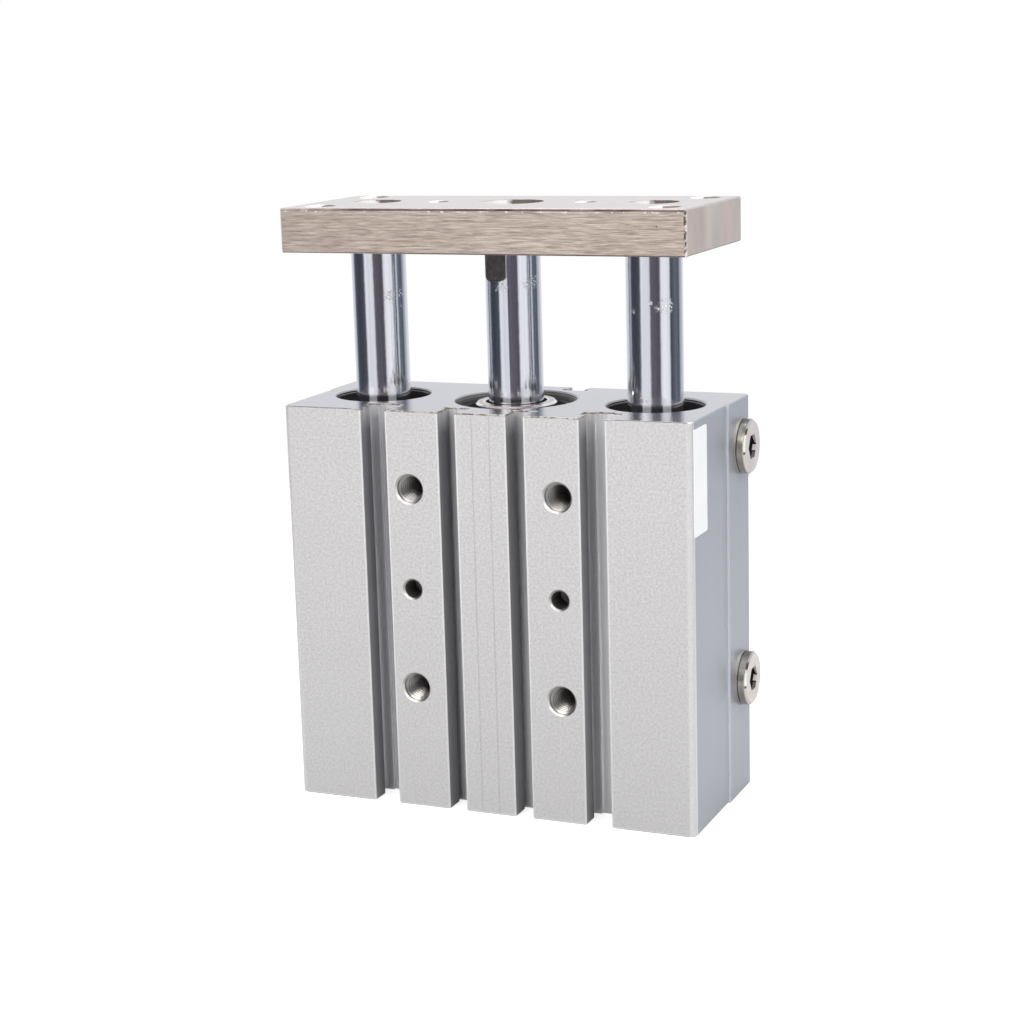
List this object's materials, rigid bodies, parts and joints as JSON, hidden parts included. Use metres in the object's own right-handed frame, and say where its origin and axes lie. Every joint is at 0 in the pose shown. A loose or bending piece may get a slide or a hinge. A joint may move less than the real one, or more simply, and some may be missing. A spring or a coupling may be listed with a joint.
{
  "type": "guided pneumatic cylinder",
  "caption": "Compact guided air cylinder: slotted block body, a piston rod between two guide rods in ball bushings, and a flat end plate they carry.",
  "frame": {"origin": "on the body's bottom face, in the plane of the three rods and on the piston rod's axis", "axes": "+Z along the rods, out of the rod end; -Y out of the front face with the mounting holes; +X out of the side with the port plugs"},
  "size_m": [0.0965, 0.0385, 0.1305],
  "materials": {
    "body_aluminium": "fine blasted, clear anodised",
    "cover_nickel": "machined, satin",
    "cap_aluminium": "machined",
    "piston_aluminium": "machined",
    "plate_nickel": "nickel plated, ground across",
    "rod_chrome": "ground and polished",
    "screw_steel": "nickel plated",
    "plug_nickel": "nickel plated",
    "washer_grey": "matt",
    "ring_steel": "black phosphated spring steel",
    "bushing_steel": "ground",
    "cage_resin": "moulded",
    "seal_rubber": "matt black",
    "bush_bronze": "sintered bronze",
    "magnet_grey": "bonded magnet",
    "wear_resin": "moulded"
  },
  "bodies": {
    "cylinder_body": {"body_block": "body_aluminium", "rod_cover": "cover_nickel", "end_cap": "cap_aluminium", "port_plug_lower": "plug_nickel", "port_plug_upper": "plug_nickel", "plug_washer_lower": "washer_grey", "plug_washer_upper": "washer_grey", "rod_cover_ring": "ring_steel", "end_cap_ring": "ring_steel", "guide_ring_lower_left": "ring_steel", "guide_ring_lower_right": "ring_steel", "guide_ring_upper_left": "ring_steel", "guide_ring_upper_right": "ring_steel", "bushing_shell_lower_left": "bushing_steel", "bushing_shell_lower_right": "bushing_steel", "bushing_shell_upper_left": "bushing_steel", "bushing_shell_upper_right": "bushing_steel", "bushing_spacer_left": "bushing_steel", "bushing_spacer_right": "bushing_steel", "bushing_cage_lower_left": "cage_resin", "bushing_cage_lower_right": "cage_resin", "bushing_cage_upper_left": "cage_resin", "bushing_cage_upper_right": "cage_resin", "rod_seal": "seal_rubber", "rod_cover_oring": "seal_rubber", "end_cap_oring": "seal_rubber", "guide_wiper_left": "seal_rubber", "guide_wiper_right": "seal_rubber", "rod_end_bumper": "seal_rubber", "cap_end_bumper": "seal_rubber", "rod_bush": "bush_bronze"},
    "plate_and_rods": {"end_plate": "plate_nickel", "piston_rod": "rod_chrome", "guide_rod_left": "rod_chrome", "guide_rod_right": "rod_chrome", "piston_rod_screw": "screw_steel", "guide_screw_left": "screw_steel", "guide_screw_right": "screw_steel", "piston": "piston_aluminium", "piston_seal": "seal_rubber", "magnet_ring": "magnet_grey", "wear_ring": "wear_resin", "piston_screw": "screw_steel"}
  },
  "joints": [
    {"name": "plate_slide", "type": "slide", "parent": "cylinder_body", "child": "plate_and_rods", "axis": [0, 0, 1], "range_m": [-0.027, 0.013]}
  ]
}
